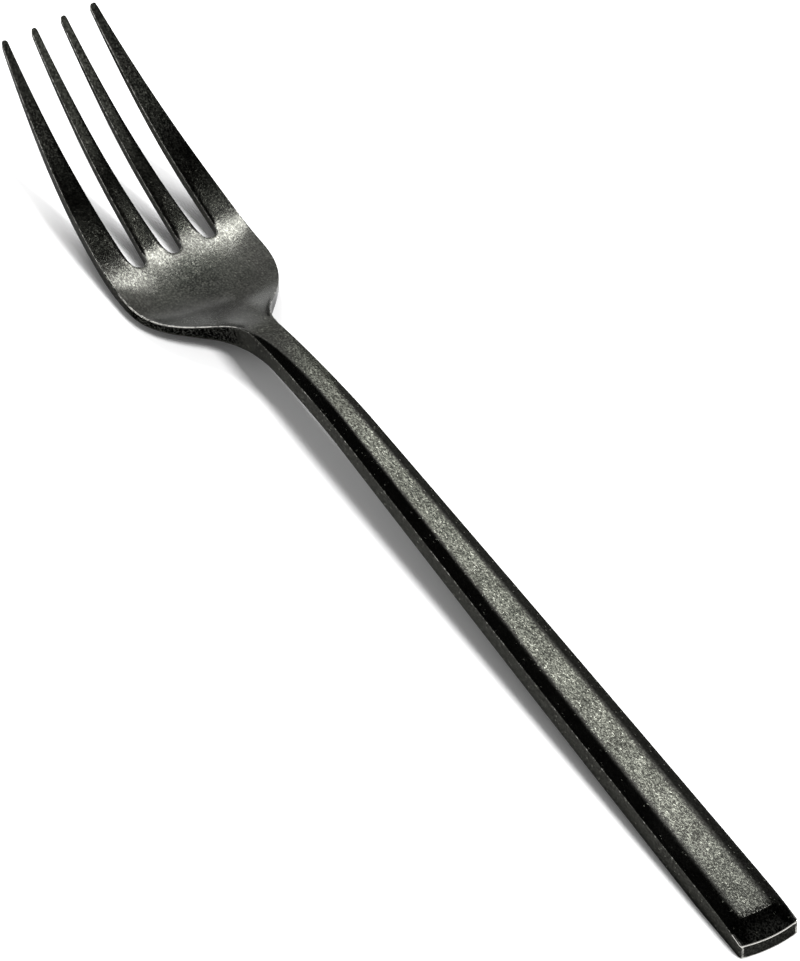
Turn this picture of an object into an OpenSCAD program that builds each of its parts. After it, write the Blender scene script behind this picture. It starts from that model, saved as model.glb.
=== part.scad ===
// Dinner fork with four tines, a dished bowl, an arched neck and a long square-edged handle.
// The fork lies on the table, tines up: +X runs from the butt to the tips, +Z is up.
// The handle is two pressed half shells, welded at mid height over the tang of the head.

/* [Overall] */
// Length from the butt to the tips
fork_len = 210; // [180:1:240]
// Length of the handle shells, from the butt to the weld at the neck
handle_len = 116; // [96:1:122]

/* [Handle] */
// Width of the handle at the butt
butt_w = 10.3; // [8:0.1:13]
// Width of the neck at its narrowest
neck_w = 5; // [4:0.1:6.5]
// How far each side of the handle bulges from a straight line
side_bulge = 0.18; // [0:0.02:0.6]
// How far the butt's end face bows out in the middle
butt_bow = 0.5; // [0.1:0.1:1.5]
// Height of the side face at the butt, before its end is eased down
butt_side_h = 4.15; // [3.6:0.05:5]
// Height of the side face along the neck
neck_side_h = 3.1; // [2.6:0.05:3.8]
// Height of the flat top strip above the side edges
crown_h = 0.9; // [0.4:0.05:1.2]
// Width of the slope on each side of the top strip, at the butt
butt_side_roll_w = 2.4; // [1.6:0.05:3.2]
// Width of the slope on each side of the top strip, where the neck begins
neck_side_roll_w = 1.7; // [1.2:0.05:2]
// Width of the slope that rolls off towards the butt
butt_roll_w = 4; // [2:0.1:5]
// How far the side edges are eased down at the butt
butt_drop = 0.7; // [0:0.05:1]
// Length over which the side edges are eased down
butt_drop_len = 9; // [5:1:14]
// Radius of the two upright corners of the butt
butt_corner_r = 0.5; // [0.2:0.05:1]
// Length of the flat foot under the butt
foot_len = 12.5; // [8:0.5:20]
// Rise of the handle's underside from the foot to the weld
handle_rise = 6.8; // [5:0.1:9]

/* [Shells and tang] */
// Wall of the handle shells
shell_t = 0.8; // [0.5:0.05:1]
// Thickness of the shell under the top strip
roof_t = 1; // [0.8:0.05:1.3]
// Wall of the shells at the butt
end_wall = 3; // [2:0.5:6]
// Height of the weld line above the underside
weld_h = 1.7; // [1.4:0.1:2.2]
// Length of the tang inside the handle
tang_len = 46; // [20:1:70]
// Thickness of the tang
tang_t = 1.4; // [1:0.1:1.6]
// Width of the tang at its end
tang_tip_w = 2.4; // [1.5:0.1:3]
// Width of the tang where it leaves the head
tang_root_w = 3.8; // [3:0.1:4.2]

/* [Neck and bowl] */
// Distance from the tips back to the place where the top slopes end
neck_back = 62; // [58:1:66]
// Height of the neck's edge where the top slopes end
neck_edge_z = 7.6; // [6:0.1:10]
// Fall of the neck's edge for each millimetre there
neck_fall = 0.42; // [0.3:0.02:0.6]
// Distance from the tips back to the lowest point of the bowl
bowl_back = 46; // [42:1:50]
// Height of the bowl's edge above the table at its lowest point
bowl_edge_z = 3; // [2.4:0.05:3.6]
// How far the underside of the neck swells where it bends down to the bowl
belly = 1.3; // [0:0.1:1.6]
// Length of that swelling
belly_len = 18; // [12:1:22]
// Thickness of the bowl
bowl_t = 1.7; // [1.4:0.05:2]
// Greatest width of the bowl
bowl_w = 25.4; // [22:0.2:28]

/* [Tines] */
// Height of the tips' upper edge above the table
tip_z = 21.9; // [16:0.1:26]
// Rise of the tines at the tips for each millimetre along
tip_slope = 0.74; // [0.5:0.02:0.9]
// Greatest thickness of the tines, measured upright
tine_t = 2.2; // [1.8:0.05:2.6]
// Thickness of the tines at the tips, measured upright
tip_t = 1.15; // [0.9:0.05:1.5]
// Radius of the corners of each tip, seen from above
tip_corner_r = 0.35; // [0.2:0.05:0.5]
// Width over the four tips
tips_w = 17.4; // [15:0.2:20]
// Depth of the slots between the tines
slot_len = 39; // [34:0.5:42]
// Width of a slot at its root
slot_root_w = 2.6; // [2.2:0.1:3.2]
// Width of a slot at the tips
slot_tip_w = 4.3; // [3.6:0.1:4.6]
// Distance between the slots at their roots
slot_root_pitch = 6.5; // [6:0.1:7]
// Distance between the slots at the tips
slot_tip_pitch = 5.4; // [4.9:0.1:5.8]

/* [Hidden] */
metal = [0.09, 0.09, 0.09];
// Overrun of a cutting shape past the face that it cuts
cut = 1;
// Where the straight handle ends and the arch of the neck begins
arch_back = 92;
arch_x = fork_len - arch_back;
neck_x = fork_len - neck_back;
bowl_x = fork_len - bowl_back;
slot_x = fork_len - slot_len;
// Steps along and across the smooth surfaces
head_steps = 56;
handle_steps = 34;
curve_steps = 14;
corner_facets = 20;
across_share = [-1.08, -1, -0.9, -0.8, -0.7, -0.62, -0.54, -0.46, -0.38, -0.2, 0,
    0.2, 0.38, 0.46, 0.54, 0.62, 0.7, 0.8, 0.9, 1, 1.08];

// A point on a cubic curve, and the whole curve without its last point
function bez(p, t) = pow(1 - t, 3) * p[0] + 3 * t * pow(1 - t, 2) * p[1]
    + 3 * t * t * (1 - t) * p[2] + pow(t, 3) * p[3];
function bez_run(p, n) = [for (i = [0 : n - 1]) bez(p, i / n)];
function clamp01(t) = max(0, min(1, t));
function ease(t) = let (c = clamp01(t)) c * c * (3 - 2 * c);
function mix(a, b, t) = a + (b - a) * t;
// The height of an outline of rising x at one x
function along(line, x) = lookup(x, line);

// Underside and side edge of the straight handle, at a distance x from the butt
foot_slope = handle_rise / (handle_len - foot_len);
function under_line(x) = foot_slope * (x - foot_len);
function edge_line(x) = under_line(x) + mix(butt_side_h, neck_side_h, x / arch_x);
function butt_ease(x) = butt_drop * pow(1 - clamp01(x / butt_drop_len), 2);
edge_slope = edge_line(1) - edge_line(0);

// Side edge of the arched neck, the heel of the bowl and the tines
neck_start_share = 0.2;
neck_end_share = 0.167;
neck_run = neck_x - arch_x;
heel_start_share = 0.25;
heel_end_share = 0.44;
heel_run = bowl_x - neck_x;
tine_start_share = 0.33;
tine_end_share = 0.32;
neck_start = neck_run * neck_start_share;
neck_end = neck_run * neck_end_share;
heel_start = heel_run * heel_start_share;
heel_end = heel_run * heel_end_share;
tine_start = bowl_back * tine_start_share;
tine_end = bowl_back * tine_end_share;
neck_curve = [
    [arch_x, edge_line(arch_x)],
    [arch_x + neck_start, edge_line(arch_x) + neck_start * edge_slope],
    [neck_x - neck_end, neck_edge_z + neck_end * neck_fall],
    [neck_x, neck_edge_z]];
heel_curve = [
    [neck_x, neck_edge_z],
    [neck_x + heel_start, neck_edge_z - heel_start * neck_fall],
    [bowl_x - heel_end, bowl_edge_z],
    [bowl_x, bowl_edge_z]];
tine_curve = [
    [bowl_x, bowl_edge_z],
    [bowl_x + tine_start, bowl_edge_z],
    [fork_len - tine_end, tip_z - tine_end * tip_slope],
    [fork_len, tip_z]];
past_tip = [fork_len + cut, tip_z + cut * tip_slope];
head_edge = concat(bez_run(neck_curve, curve_steps), bez_run(heel_curve, curve_steps),
    bez_run(tine_curve, curve_steps), [[fork_len, tip_z], past_tip]);
// The edge dips a little at the slot roots, before it bends up into the tines
root_dip = 0.35;
root_dip_len = 5.6;
function dip(x) = root_dip * exp(-pow((x - slot_x) / root_dip_len, 2));
function edge_z(x) = x < arch_x ? edge_line(x) - butt_ease(x)
    : along(head_edge, x) - (x < neck_x ? 0 : dip(x));

// Half width of the fork: tapered handle, neck, round shoulders of the bowl, converging tines
waist_back = 66;
waist_x = fork_len - waist_back;
bowl_half = bowl_w / 2;
tips_half = tips_w / 2;
// Where the bowl is widest, and the point of its shoulder where the outline turns
widest_back = bowl_back - 2;
widest_x = fork_len - widest_back;
shoulder_x = widest_x - widest_back * 0.32;
shoulder_half = bowl_half * 0.48;
// How far the outline runs on straight before it bends, and how far the bend reaches back
neck_straight = (shoulder_x - waist_x) * 0.55;
neck_turn = (shoulder_x - waist_x) * 0.2;
neck_turn_half = bowl_half * 0.36;
shoulder_start = widest_back * 0.094;
shoulder_start_half = bowl_half * 0.8;
shoulder_end = widest_back * 0.136;
side_pull = widest_back * 0.3;
// Gain of half width for each millimetre back from the tips
tips_taper = 0.13;
neck_out = [
    [waist_x, neck_w / 2],
    [waist_x + neck_straight, neck_w / 2],
    [shoulder_x - neck_turn, neck_turn_half],
    [shoulder_x, shoulder_half]];
shoulder_out = [
    [shoulder_x, shoulder_half],
    [shoulder_x + shoulder_start, shoulder_start_half],
    [widest_x - shoulder_end, bowl_half],
    [widest_x, bowl_half]];
side_out = [
    [widest_x, bowl_half],
    [widest_x + side_pull, bowl_half],
    [fork_len - side_pull, tips_half + side_pull * tips_taper],
    [fork_len, tips_half]];
head_out = concat(bez_run(neck_out, curve_steps), bez_run(shoulder_out, curve_steps),
    bez_run(side_out, curve_steps), [[fork_len, tips_w / 2]]);
function half_w(x) = x < waist_x
    ? mix(butt_w, neck_w, x / waist_x) / 2 + side_bulge * 4 * (x / waist_x) * (1 - x / waist_x)
    : along(head_out, x);

// Height of the side face: even along the handle, swelling under the neck, thin in the bowl,
// thicker again half way along the tines
bowl_thin_start = neck_x - 2;
bowl_thin_len = 13;
belly_x = neck_x - 1;
thick_x = slot_x + slot_len * 0.45;
// The tines thin slowly at first and faster near the tips
tip_thin_power = 1.5;
function swell(x) = let (d = abs(x - belly_x) / belly_len * 2) belly * ease(1 - d);
function side_h(x) = x < bowl_x
    ? mix(edge_line(min(x, arch_x)) - under_line(min(x, arch_x)) + swell(x), bowl_t,
        ease((x - bowl_thin_start) / bowl_thin_len))
    : x < thick_x ? mix(bowl_t, tine_t, ease((x - bowl_x) / (thick_x - bowl_x)))
    : mix(tine_t, tip_t, pow((x - thick_x) / (fork_len - thick_x), tip_thin_power));

// Crown of the handle's top: a flat strip with a slope on each side and one down to the butt
crown_end_run = 20;
// Share of a slope's width over which it bends into the strip
bend_share = 0.15;
function crown_amount(x) = 1 - pow(clamp01((x - neck_x + crown_end_run) / crown_end_run), 2);
function side_roll_w(x) = mix(butt_side_roll_w, neck_side_roll_w, min(1, x / arch_x));
function roll(t) = t < 1 - bend_share ? max(0, t)
    : t > 1 + bend_share ? 1
    : t - pow(t - 1 + bend_share, 2) / (4 * bend_share);
function crown(x, y) = let (
        a = crown_amount(x),
        inset = half_w(x) - abs(y),
        end_inset = x - butt_bow * pow(y / half_w(0), 2))
    a <= 0 ? 0
        : (crown_h * a + butt_ease(x)) * roll(inset / (side_roll_w(x) * a))
            * roll(end_inset / butt_roll_w);

// Depth of the dish: it just brings the bowl's underside down to the table
dish_d = bowl_edge_z - bowl_t;
dish_start = neck_x + 2.5;
dish_rise_len = 15.5;
dish_end = slot_x + 1;
dish_fall_len = 16;
dish_power = 3;
// A shallow hollow in the middle of the neck leads into the dish
hollow_d = 0.4;
hollow_x = neck_x + 0.5;
hollow_len = 5;
function across_dish(x, y) = 1 - pow(min(1, abs(y) / half_w(x)), dish_power);
function hollow(x) = hollow_d * exp(-pow((x - hollow_x) / hollow_len, 2));
function dish(x, y) = x < waist_x - hollow_len ? 0 : across_dish(x, y) * (hollow(x)
    + dish_d * ease((x - dish_start) / dish_rise_len) * ease((dish_end - x) / dish_fall_len));

function top_z(x, y) = edge_z(x) + crown(x, y) - dish(x, y);
function under_z(x, y) = edge_z(x) - side_h(x) - dish(x, y);

// Solid between two smooth surfaces, given by rows of points that run across the fork
module skin(top, bottom) {
    n = len(top[0]);
    m = len(top);
    count = n * m;
    function at(i, j, low) = i * n + j + (low ? count : 0);
    upper = [for (i = [0 : m - 2], j = [0 : n - 2]) each [
        [at(i, j, false), at(i, j + 1, false), at(i + 1, j + 1, false)],
        [at(i, j, false), at(i + 1, j + 1, false), at(i + 1, j, false)]]];
    lower = [for (i = [0 : m - 2], j = [0 : n - 2]) each [
        [at(i, j, true), at(i + 1, j + 1, true), at(i, j + 1, true)],
        [at(i, j, true), at(i + 1, j, true), at(i + 1, j + 1, true)]]];
    sides = [for (j = [0, n - 1], i = [0 : m - 2]) each (j == 0 ? [
        [at(i, j, false), at(i + 1, j, false), at(i + 1, j, true)],
        [at(i, j, false), at(i + 1, j, true), at(i, j, true)]] : [
        [at(i, j, false), at(i + 1, j, true), at(i + 1, j, false)],
        [at(i, j, false), at(i, j, true), at(i + 1, j, true)]])];
    ends = [for (i = [0, m - 1], j = [0 : n - 2]) each (i == 0 ? [
        [at(i, j, false), at(i, j + 1, true), at(i, j + 1, false)],
        [at(i, j, false), at(i, j, true), at(i, j + 1, true)]] : [
        [at(i, j, false), at(i, j + 1, false), at(i, j + 1, true)],
        [at(i, j, false), at(i, j + 1, true), at(i, j, true)]])];
    polyhedron(concat([for (r = top) each r], [for (r = bottom) each r]),
        concat(upper, lower, sides, ends));
}

// Places across the fork at x, a little wider than its outline
function across(x) = [for (s = across_share) s * half_w(x)];

// A flat outline of the fork between two distances from the butt
module plan(x0, x1, steps) {
    xs = [for (i = [0 : steps]) mix(x0, x1, i / steps)];
    polygon(concat([for (x = xs) [x, -half_w(x)]],
        [for (i = [0 : steps]) let (x = xs[steps - i]) [x, half_w(x)]]));
}

// A side profile, drawn in x and z, extruded across the fork
module profile(points) {
    rotate([90, 0, 0]) linear_extrude(butt_w + bowl_w, center = true) polygon(points);
}

// Outline with its outer corners rounded
module eased(radius) {
    offset(r = radius, $fn = corner_facets) offset(delta = -radius) children();
}

// Flat outline of one slot between the tines, open at the tips
slot_taper_power = 0.55;
function slot_half(s) = mix(slot_root_w, slot_tip_w, pow(s, slot_taper_power)) / 2;
module slot(side) {
    root = [slot_x + slot_root_w / 2, side * slot_root_pitch];
    run = fork_len - root[0];
    drift = side * (slot_tip_pitch - slot_root_pitch);
    steps = curve_steps;
    mouth_y = root[1] + drift;
    round_end = [for (a = [90 : 180 / steps : 270]) root + slot_root_w / 2 * [cos(a), sin(a)]];
    near = [for (i = [1 : steps]) let (s = i / steps)
        root + [run * s, drift * s - slot_half(s)]];
    mouth = [
        [fork_len + cut, mouth_y - slot_tip_w / 2],
        [fork_len + cut, mouth_y + slot_tip_w / 2]];
    far = [for (i = [0 : steps - 1]) let (s = 1 - i / steps)
        root + [run * s, drift * s + slot_half(s)]];
    polygon(concat(round_end, near, mouth, far));
}

// Flat outline of the head, with the tines' tips rounded
tine_overlap = 2;
module head_plan() {
    plan(handle_len, slot_x, head_steps);
    eased(tip_corner_r) difference() {
        plan(slot_x - tine_overlap, fork_len, head_steps);
        for (side = [-1, 0, 1]) slot(side);
    }
}

// Line of the weld between the two shells
function weld_z(x) = under_line(x) + weld_h;

// Room inside the two shells, open at the neck
module cavity(reach) {
    x0 = end_wall;
    x1 = handle_len + reach;
    floor_line = [[x0, shell_t], [foot_len, shell_t], [x1, under_line(x1) + shell_t]];
    roof_rise = crown_h - roof_t;
    roof_line = [
        [x1, edge_line(x1) + roof_rise],
        [butt_drop_len, edge_line(butt_drop_len) + roof_rise],
        [x0, edge_z(x0) + roof_rise]];
    intersection() {
        profile(concat(floor_line, roof_line));
        linear_extrude(tip_z) polygon([
            [x0, -half_w(x0) + shell_t], [x1, -half_w(x1) + shell_t],
            [x1, half_w(x1) - shell_t], [x0, half_w(x0) - shell_t]]);
    }
}

// Tang of the head, lying along the middle of the cavity
module tang(overlap) {
    x0 = handle_len - tang_len;
    x1 = handle_len + overlap;
    mid = (shell_t + edge_line(handle_len) - under_line(handle_len) + crown_h - roof_t) / 2;
    low = mid - tang_t / 2;
    high = mid + tang_t / 2;
    intersection() {
        profile([[x0, under_line(x0) + low], [x1, under_line(x1) + low],
            [x1, under_line(x1) + high], [x0, under_line(x0) + high]]);
        linear_extrude(tip_z) polygon([
            [x0, -tang_tip_w / 2], [handle_len, -tang_root_w / 2], [x1, -tang_root_w / 2],
            [x1, tang_root_w / 2], [handle_len, tang_root_w / 2], [x0, tang_tip_w / 2]]);
    }
}

// Outer form of the whole handle, with its rows closer together at the butt
row_power = 1.6;
module handle_form() {
    x0 = -butt_bow - cut;
    rows = [for (i = [1 : handle_steps]) handle_len * pow(i / handle_steps, row_power)];
    xs = concat([x0, 0], rows, [handle_len + cut]);
    top = [for (x = xs) let (h = max(x, 0)) [for (y = across(h)) [x, y, top_z(h, y)]]];
    bottom = [for (x = xs) [for (y = across(max(x, 0))) [x, y, min(0, under_line(x)) - cut]]];
    intersection() {
        skin(top, bottom);
        linear_extrude(tip_z) handle_plan();
        profile([[x0, 0], [foot_len, 0], [handle_len, under_line(handle_len)],
            [handle_len, tip_z], [x0, tip_z]]);
    }
}

// Outline of the handle with its bowed butt, running on a little past the weld at the neck
module handle_plan() {
    steps = curve_steps;
    bow = [for (i = [1 : steps - 1]) let (v = 1 - 2 * i / steps)
        [butt_bow * (v * v), half_w(0) * v]];
    xs = [for (i = [0 : steps]) mix(butt_bow, handle_len + cut, i / steps)];
    right = [for (x = xs) [x, -half_w(x)]];
    left = [for (i = [0 : steps]) let (x = xs[steps - i]) [x, half_w(x)]];
    eased(butt_corner_r) polygon(concat(right, left, bow));
}

// Everything above the line of the weld
module above_weld() {
    x0 = -butt_bow - cut;
    x1 = handle_len + cut;
    profile([[x0, weld_z(x0)], [x1, weld_z(x1)], [x1, tip_z], [x0, tip_z]]);
}

module fork_head() {
    xs = [for (i = [0 : head_steps]) mix(handle_len, fork_len, i / head_steps)];
    rows = concat([handle_len - cut], xs, [fork_len + cut]);
    top = [for (x = rows) [for (y = across(min(x, fork_len))) [x, y, top_z(x, y)]]];
    bottom = [for (x = rows) [for (y = across(min(x, fork_len))) [x, y, under_z(x, y)]]];
    color(metal) union() {
        intersection() {
            skin(top, bottom);
            linear_extrude(tip_z + cut) head_plan();
        }
        tang(cut);
    }
}

module handle_top_shell() {
    color(metal) difference() {
        intersection() {
            handle_form();
            above_weld();
        }
        cavity(cut);
    }
}

module handle_bottom_shell() {
    x0 = -butt_bow - cut;
    color(metal) difference() {
        intersection() {
            linear_extrude(tip_z) handle_plan();
            profile([[x0, 0], [foot_len, 0], [handle_len, under_line(handle_len)],
                [handle_len, weld_z(handle_len)], [x0, weld_z(x0)]]);
        }
        cavity(cut);
    }
}

module handle_filler() {
    color("dimgray") difference() {
        cavity(0);
        tang(cut);
    }
}

module placed() {
    translate([-fork_len / 2, 0, 0]) children();
}

placed() fork_head();
placed() handle_top_shell();
placed() handle_bottom_shell();
placed() handle_filler();
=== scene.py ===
import math
from functools import lru_cache

import bpy
from mathutils import Matrix, Vector


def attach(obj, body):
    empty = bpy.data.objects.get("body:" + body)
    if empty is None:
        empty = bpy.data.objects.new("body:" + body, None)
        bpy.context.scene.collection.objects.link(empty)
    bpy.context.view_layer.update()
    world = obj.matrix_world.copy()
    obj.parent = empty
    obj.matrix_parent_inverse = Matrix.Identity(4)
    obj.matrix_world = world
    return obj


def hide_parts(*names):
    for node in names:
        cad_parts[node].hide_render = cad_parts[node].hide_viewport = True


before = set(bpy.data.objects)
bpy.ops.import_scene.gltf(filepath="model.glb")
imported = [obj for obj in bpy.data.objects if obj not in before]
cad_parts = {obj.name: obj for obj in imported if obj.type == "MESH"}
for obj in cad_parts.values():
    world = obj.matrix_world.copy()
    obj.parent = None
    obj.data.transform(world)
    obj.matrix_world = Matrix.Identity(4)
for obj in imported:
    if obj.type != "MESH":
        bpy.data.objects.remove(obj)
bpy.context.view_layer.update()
print("frame loaded")

mm = 0.001  # shapes are worked out in millimetres from the butt, meshes are in metres

forkShape = {
    "length": 210.0,  # the form is in the part's own sizes
    "handleLength": 116.0,
    "buttWidth": 10.3,
    "neckWidth": 5.0,
    "sideBulge": 0.18,
    "buttBow": 0.5,
    "buttCorner": 0.5,  # radius of the two upright corners of the butt
    "buttSideHeight": 4.15,
    "neckSideHeight": 3.1,
    "crownHeight": 0.9,
    "crownFade": 20.0,  # the strip's height fades out over this length before neckX
    "buttSideRoll": 2.4,
    "neckSideRoll": 1.7,
    "sideBend": 0.28,  # share of a slope's width over which it bends into the strip
    "buttBend": 0.03,
    "buttRollWidth": 4.0,
    "buttDrop": 0.7,
    "buttDropLength": 9.0,
    "footLength": 12.5,
    "handleRise": 6.8,
    "archX": 118.0,
    "waistX": 144.0,
    "neckX": 148.0,
    "neckEdge": 7.6,
    "neckFall": 0.42,
    "bowlX": 164.0,
    "bowlEdge": 3.0,
    "bowlWidth": 25.4,
    "widestPast": 2.0,  # the bowl is widest this far past bowlX
    "bowlThickness": 1.7,
    "belly": 1.3,
    "bellyLength": 18.0,
    "bellyBack": 1.0,  # the belly is deepest this far before neckX
    "thinBack": 2.0,  # the neck begins to thin this far before neckX
    "thinRun": 13.0,
    "tipHeight": 21.9,
    "tipSlope": 0.74,
    "tipsWidth": 17.4,
    "tineThickness": 2.2,
    "tipThickness": 1.15,
    "thickShare": 0.45,  # how far along the slots the tines are thickest
    "tipTaper": 1.5,
    "tipRound": 0.35,  # how far the corners of a tine's end stand back
    "tipRoundPower": 4,
    "rootDip": 0.35,  # the floor dips a little before it bends up into the tines
    "rootDipX": 171.0,
    "rootDipLength": 5.6,
    "dishPower": 4.0,
    "dishStart": 150.5,
    "dishRiseLength": 15.5,
    "dishEnd": 172.0,
    "dishFallLength": 16.0,
    "hollow": 0.4,  # depth of the shallow hollow in the neck that leads into the dish
    "hollowX": 148.5,
    "hollowLength": 5.0,
    "slotX": 171.0,
    "slotRootWidth": 2.6,
    "slotTipWidth": 4.3,
    "slotRootPitch": 6.5,
    "slotTipPitch": 5.4,
    "slotFlare": 0.55,  # below 1, the slots widen more near their roots
    "slotRollDepth": 0.22,  # the top edges along the slots are rubbed round
    "slotRollWidth": 0.9,
    "slotRollBefore": 0.5,  # the rubbed edges begin this far before slotX
    "slotRollRun": 4.0,
    "leftLift": 0.33,  # the outer tines bend up a little sooner
    "rightLift": 0.18,
    "liftBefore": 6.0,  # the lift begins this far before slotX
    "liftRun": 9.0,
    "liftEnd": 3.0,  # and is gone this far before the tips
    "liftFall": 24.0,
    "liftInner": 5.0,  # across, it begins this far from the middle line
    "liftAcross": 3.0,
    "shellWall": 0.8,
    "shellRoof": 1.0,
    "endWall": 3.0,
    "weldHeight": 1.7,
    "tangLength": 46.0,
    "tangThickness": 1.4,
    "tangTipWidth": 2.4,
    "tangRootWidth": 3.8,
    "seamReach": 1.0,  # the forms for the cavity and the tang run this far past the seam
    "rimRadius": 0.12,
}
s = forkShape


def clamp(t):
    return max(0.0, min(1.0, t))


def ease(t):
    t = clamp(t)
    return t * t * (3 - 2 * t)


def mix(a, b, t):
    return a + (b - a) * t


def bezierPoint(p, t):
    u = 1 - t
    w = (u**3, 3 * t * u * u, 3 * t * t * u, t**3)
    return sum(k * q[0] for k, q in zip(w, p)), sum(k * q[1] for k, q in zip(w, p))


def bezierAt(p, x):
    low, high = 0.0, 1.0
    for step in range(40):
        mid = (low + high) / 2
        if bezierPoint(p, mid)[0] < x:
            low = mid
        else:
            high = mid
    return bezierPoint(p, low)[1]


def underLine(x):
    return s["handleRise"] / (s["handleLength"] - s["footLength"]) * (x - s["footLength"])


def edgeLine(x):
    return underLine(x) + mix(s["buttSideHeight"], s["neckSideHeight"], x / s["archX"])


curvePulls = {  # where a curve's inner points lie, as shares of its run
    "archOut": 0.2,
    "neckIn": 0.167,
    "neckOut": 0.25,
    "bowlIn": 0.44,
    "bowlOut": 0.33,
    "tipIn": 0.32,
    "waistOut": 0.55,
    "shoulderIn": 0.8,
    "shoulderOut": 0.55,
    "widestIn": 0.8,
    "side": 0.3,
}
shoulder = {  # widths are shares of half the bowl's width, lengths of the sides' run
    "back": 0.32,
    "run": 0.17,
    "inWidth": 0.36,
    "width": 0.48,
    "outWidth": 0.8,
}
tipsFlare = 0.13  # how much the sides still close in at the tips
pull = curvePulls

edgeSlope = edgeLine(1) - edgeLine(0)
neckRun = s["neckX"] - s["archX"]
heelRun = s["bowlX"] - s["neckX"]
tineRun = s["length"] - s["bowlX"]
archOut = neckRun * pull["archOut"]
neckIn = neckRun * pull["neckIn"]
neckOut = heelRun * pull["neckOut"]
tipIn = tineRun * pull["tipIn"]
neckCurve = [
    (s["archX"], edgeLine(s["archX"])),
    (s["archX"] + archOut, edgeLine(s["archX"]) + archOut * edgeSlope),
    (s["neckX"] - neckIn, s["neckEdge"] + neckIn * s["neckFall"]),
    (s["neckX"], s["neckEdge"]),
]
heelCurve = [
    (s["neckX"], s["neckEdge"]),
    (s["neckX"] + neckOut, s["neckEdge"] - neckOut * s["neckFall"]),
    (s["bowlX"] - heelRun * pull["bowlIn"], s["bowlEdge"]),
    (s["bowlX"], s["bowlEdge"]),
]
tineCurve = [
    (s["bowlX"], s["bowlEdge"]),
    (s["bowlX"] + tineRun * pull["bowlOut"], s["bowlEdge"]),
    (s["length"] - tipIn, s["tipHeight"] - tipIn * s["tipSlope"]),
    (s["length"], s["tipHeight"]),
]

halfBowl = s["bowlWidth"] / 2
halfTips = s["tipsWidth"] / 2
sideRun = tineRun - s["widestPast"]
sidePull = sideRun * pull["side"]
widestX = s["length"] - sideRun
shoulderX = widestX - sideRun * shoulder["back"]
shoulderHalf = halfBowl * shoulder["width"]
waistOutline = [
    (s["waistX"], s["neckWidth"] / 2),
    (mix(s["waistX"], shoulderX, pull["waistOut"]), s["neckWidth"] / 2),
    (mix(s["waistX"], shoulderX, pull["shoulderIn"]), halfBowl * shoulder["inWidth"]),
    (shoulderX, shoulderHalf),
]
shoulderOutline = [
    (shoulderX, shoulderHalf),
    (
        shoulderX + sideRun * shoulder["run"] * pull["shoulderOut"],
        halfBowl * shoulder["outWidth"],
    ),
    (widestX - sideRun * shoulder["run"] * pull["widestIn"], halfBowl),
    (widestX, halfBowl),
]
sideOutline = [
    (widestX, halfBowl),
    (widestX + sidePull, halfBowl),
    (s["length"] - sidePull, halfTips + sidePull * tipsFlare),
    (s["length"], halfTips),
]


def buttEase(x):
    return s["buttDrop"] * (1 - clamp(x / s["buttDropLength"])) ** 2


@lru_cache(maxsize=None)
def edgeZ(x):  # height of the upper side edge
    if x < s["archX"]:
        return edgeLine(x) - buttEase(x)
    if x < s["neckX"]:
        return bezierAt(neckCurve, x)
    dip = s["rootDip"] * math.exp(-(((x - s["rootDipX"]) / s["rootDipLength"]) ** 2))
    if x < s["bowlX"]:
        return bezierAt(heelCurve, x) - dip
    return bezierAt(tineCurve, x) - dip


@lru_cache(maxsize=None)
def halfWidth(x):
    if x < s["waistX"]:
        t = x / s["waistX"]
        straight = mix(s["buttWidth"], s["neckWidth"], t) / 2
        return straight + s["sideBulge"] * 4 * t * (1 - t)
    if x < shoulderX:
        return bezierAt(waistOutline, x)
    if x < widestX:
        return bezierAt(shoulderOutline, x)
    return bezierAt(sideOutline, x)


@lru_cache(maxsize=None)
def sideHeight(x):
    thickX = s["slotX"] + (s["length"] - s["slotX"]) * s["thickShare"]
    if x < s["bowlX"]:
        flat = min(x, s["archX"])
        away = abs(x - s["neckX"] + s["bellyBack"])
        swell = s["belly"] * ease(1 - away / s["bellyLength"] * 2)
        full = edgeLine(flat) - underLine(flat) + swell
        thin = ease((x - s["neckX"] + s["thinBack"]) / s["thinRun"])
        return mix(full, s["bowlThickness"], thin)
    if x < thickX:
        t = ease((x - s["bowlX"]) / (thickX - s["bowlX"]))
        return mix(s["bowlThickness"], s["tineThickness"], t)
    t = clamp((x - thickX) / (s["length"] - thickX)) ** s["tipTaper"]
    return mix(s["tineThickness"], s["tipThickness"], t)


def roll(t, bend):
    if t < 1 - bend:
        return max(0.0, t)
    if t > 1 + bend:
        return 1.0
    return t - (t - 1 + bend) ** 2 / (4 * bend)


def sideRollWidth(x):
    return mix(s["buttSideRoll"], s["neckSideRoll"], min(1.0, x / s["archX"]))


def crown(x, y):
    fade = s["crownFade"]
    amount = 1 - clamp((x - s["neckX"] + fade) / fade) ** 2
    if amount <= 0.0001:
        return 0.0
    inset = halfWidth(x) - abs(y)
    endInset = x - s["buttBow"] * (y / halfWidth(0)) ** 2
    sideRoll = roll(inset / (sideRollWidth(x) * amount), s["sideBend"])
    height = s["crownHeight"] * amount + buttEase(x)
    return height * sideRoll * roll(endInset / s["buttRollWidth"], s["buttBend"])


def dish(x, y):
    if x < s["waistX"] - s["hollowLength"]:
        return 0.0
    across = 1 - min(1.0, abs(y) / halfWidth(x)) ** s["dishPower"]
    depth = s["bowlEdge"] - s["bowlThickness"]
    depth *= ease((x - s["dishStart"]) / s["dishRiseLength"])
    depth *= ease((s["dishEnd"] - x) / s["dishFallLength"])
    hollow = s["hollow"] * math.exp(-(((x - s["hollowX"]) / s["hollowLength"]) ** 2))
    return (depth + hollow) * across


def slotHalf(t):
    return mix(s["slotRootWidth"], s["slotTipWidth"], t ** s["slotFlare"]) / 2


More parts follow.
